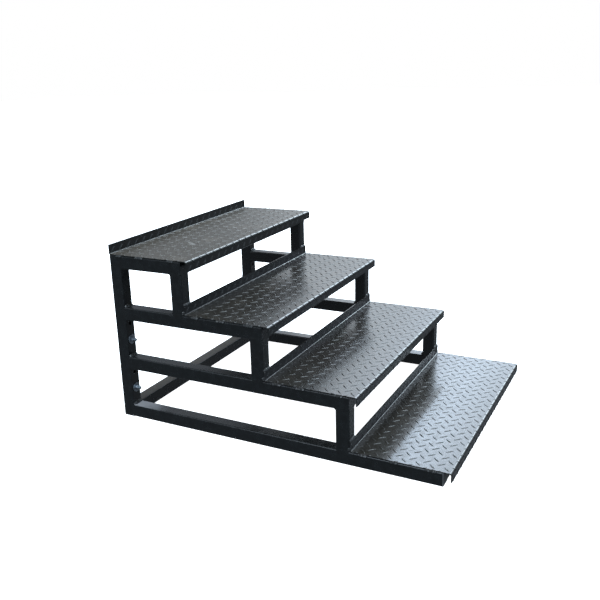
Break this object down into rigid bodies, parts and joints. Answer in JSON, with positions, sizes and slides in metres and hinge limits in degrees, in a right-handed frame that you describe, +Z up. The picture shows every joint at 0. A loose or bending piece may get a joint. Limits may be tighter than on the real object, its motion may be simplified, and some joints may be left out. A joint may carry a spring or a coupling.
{
  "type": "mounting block",
  "caption": "Stepped mounting block of welded square steel tube with wide folded floor-plate treads and an open underside.",
  "frame": {"origin": "on the ground, at the centre of the whole block's footprint", "axes": "+Z up, +X down the steps towards the person who steps on, Y across the width; left is -Y and right is +Y for a person who climbs"},
  "size_m": [1.318, 1, 0.689],
  "materials": {
    "frame_paint": "satin black paint over welded tube",
    "tread_paint": "satin black paint over raised-lug floor plate",
    "zinc": "bright zinc plating"
  },
  "bodies": {
    "root": {"first_front_cross_tube": "frame_paint", "first_tread": "tread_paint", "fixing_bolts": "zinc", "fixing_nuts": "zinc", "head_washers": "zinc", "left_first_rail": "frame_paint", "left_first_rail_end_cap": "frame_paint", "left_rear_post": "frame_paint", "left_rear_post_foot_cap": "frame_paint", "left_second_post": "frame_paint", "left_second_rail": "frame_paint", "left_second_rail_end_cap": "frame_paint", "left_third_post": "frame_paint", "left_third_rail": "frame_paint", "left_third_rail_end_cap": "frame_paint", "left_top_post": "frame_paint", "left_top_rail": "frame_paint", "left_top_rail_end_cap": "frame_paint", "nut_washers": "zinc", "rear_bottom_cross_tube": "frame_paint", "rear_top_cross_tube": "frame_paint", "right_first_rail": "frame_paint", "right_first_rail_end_cap": "frame_paint", "right_rear_post": "frame_paint", "right_rear_post_foot_cap": "frame_paint", "right_second_post": "frame_paint", "right_second_rail": "frame_paint", "right_second_rail_end_cap": "frame_paint", "right_third_post": "frame_paint", "right_third_rail": "frame_paint", "right_third_rail_end_cap": "frame_paint", "right_top_post": "frame_paint", "right_top_rail": "frame_paint", "right_top_rail_end_cap": "frame_paint", "second_front_cross_tube": "frame_paint", "second_tread": "tread_paint", "third_front_cross_tube": "frame_paint", "third_tread": "tread_paint", "top_front_cross_tube": "frame_paint", "top_tread": "tread_paint"}
  },
  "joints": []
}
